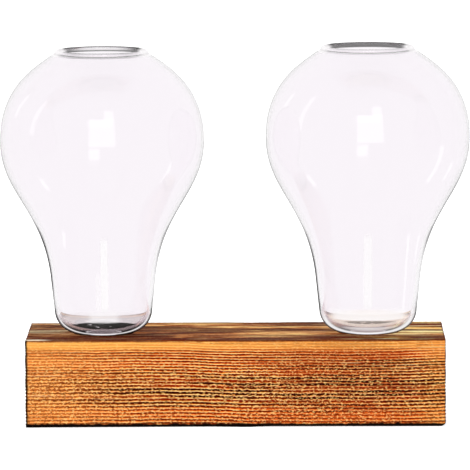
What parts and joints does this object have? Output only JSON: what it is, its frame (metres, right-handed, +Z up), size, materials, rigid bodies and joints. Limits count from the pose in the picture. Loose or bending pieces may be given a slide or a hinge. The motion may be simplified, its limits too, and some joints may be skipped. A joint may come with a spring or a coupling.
{
  "type": "hydroponic vase",
  "caption": "Bulb-shaped clear glass vases for growing plants in water, standing in round seats on a solid softwood block.",
  "frame": {"origin": "centre of the wooden block's underside", "axes": "+X along the block, +Y to the back, +Z up"},
  "size_m": [0.2246, 0.0976, 0.1792],
  "materials": {
    "wood": "scorched and brushed softwood, satin",
    "glass": "clear blown glass, polished"
  },
  "bodies": {
    "base": {"wooden_base": "wood"},
    "left_vase": {"left_glass_vase": "glass"},
    "right_vase": {"right_glass_vase": "glass"}
  },
  "joints": [
    {"name": "left_vase_lift", "type": "slide", "parent": "base", "child": "left_vase", "axis": [0, 0, 1], "range_m": [0, 0.06]},
    {"name": "right_vase_lift", "type": "slide", "parent": "base", "child": "right_vase", "axis": [0, 0, 1], "range_m": [0, 0.06]}
  ]
}
